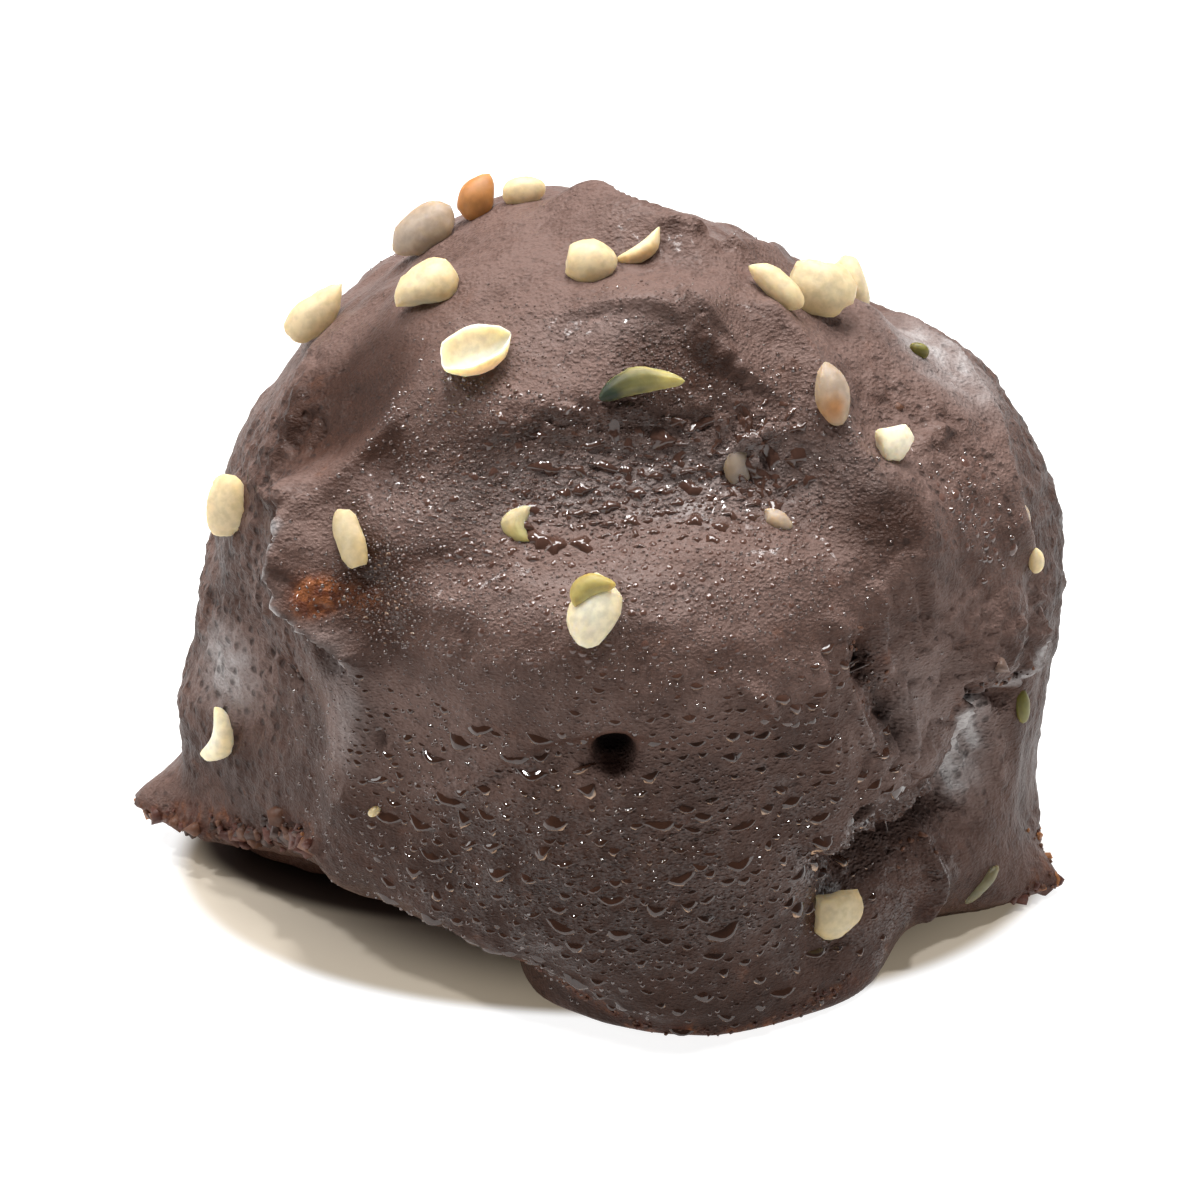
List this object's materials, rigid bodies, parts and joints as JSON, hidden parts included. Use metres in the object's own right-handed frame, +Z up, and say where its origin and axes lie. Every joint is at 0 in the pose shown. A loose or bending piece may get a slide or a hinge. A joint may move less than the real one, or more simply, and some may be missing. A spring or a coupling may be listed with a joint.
{
  "type": "chocolate truffle",
  "caption": "Hand-dipped chocolate truffle: one uneven solid dome with a lip, two toes, a burst bubble and a flat base that it rests on.",
  "frame": {"origin": "middle of the flat base that it rests on, straight under the top of the dome", "axes": "+Z up, -Y towards the front with the burst bubble, +X to its right"},
  "size_m": [0.0396, 0.0364, 0.0302],
  "materials": {
    "chocolate": "dark chocolate coat, satin, damp with fine condensation",
    "seed": "shelled hemp seeds, cream, satin",
    "crumb": "crumbs of the filling and seed hull, brown, matte",
    "dew": "drops of condensation that show the wet chocolate under them"
  },
  "bodies": {
    "root": {"truffle": "chocolate"}
  },
  "joints": []
}
